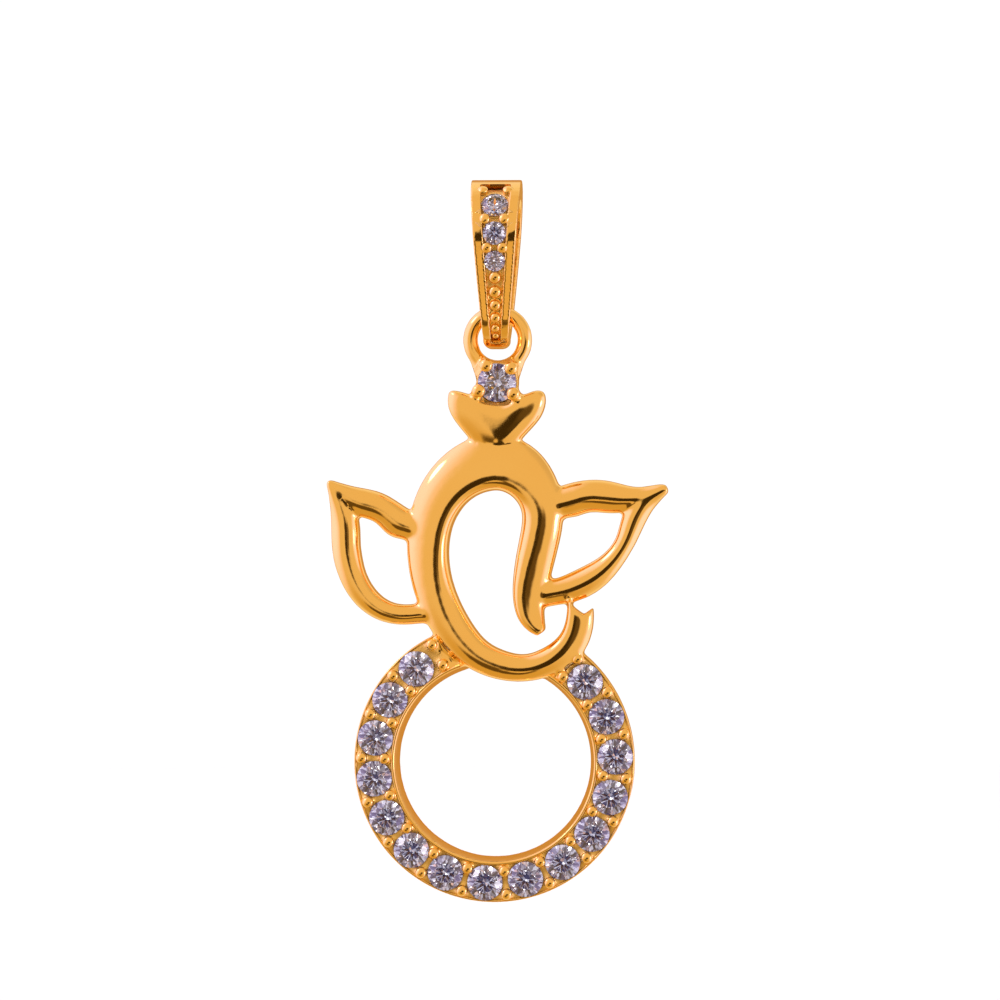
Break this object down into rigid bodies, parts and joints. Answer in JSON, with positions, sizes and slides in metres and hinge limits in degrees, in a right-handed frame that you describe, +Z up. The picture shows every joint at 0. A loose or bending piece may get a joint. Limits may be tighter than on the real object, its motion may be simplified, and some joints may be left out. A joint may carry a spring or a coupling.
{
  "type": "gold pendant",
  "caption": "Gold pendant: a drop with an open head band, two pierced ears and a stone-set ring, hanging by an eye loop from a tapered stone-set bail.",
  "frame": {"origin": "inside top of the bail, in its middle, where a chain carries it", "axes": "+Z up the height of the hanging pendant, front faces -Y, +X to the right seen from the front"},
  "size_m": [0.0143, 0.0044, 0.0301],
  "materials": {
    "gold": "polished 22 carat yellow gold",
    "stone": "clear cut cubic zirconia with a faint lavender cast"
  },
  "bodies": {
    "bail": {"bail": "gold", "bail_stone_1": "stone", "bail_stone_2": "stone", "bail_stone_3": "stone"},
    "drop": {"drop": "gold", "crown_stone": "stone", "ring_stone_01": "stone", "ring_stone_02": "stone", "ring_stone_03": "stone", "ring_stone_04": "stone", "ring_stone_05": "stone", "ring_stone_06": "stone", "ring_stone_07": "stone", "ring_stone_08": "stone", "ring_stone_09": "stone", "ring_stone_10": "stone", "ring_stone_11": "stone", "ring_stone_12": "stone", "ring_stone_13": "stone", "ring_stone_14": "stone", "ring_stone_15": "stone"}
  },
  "joints": [
    {"name": "drop_swing", "type": "hinge", "parent": "bail", "child": "drop", "pos_m": [0, 0, -0.00478], "axis": [1, 0, 0], "range_deg": [-60, 60]}
  ]
}
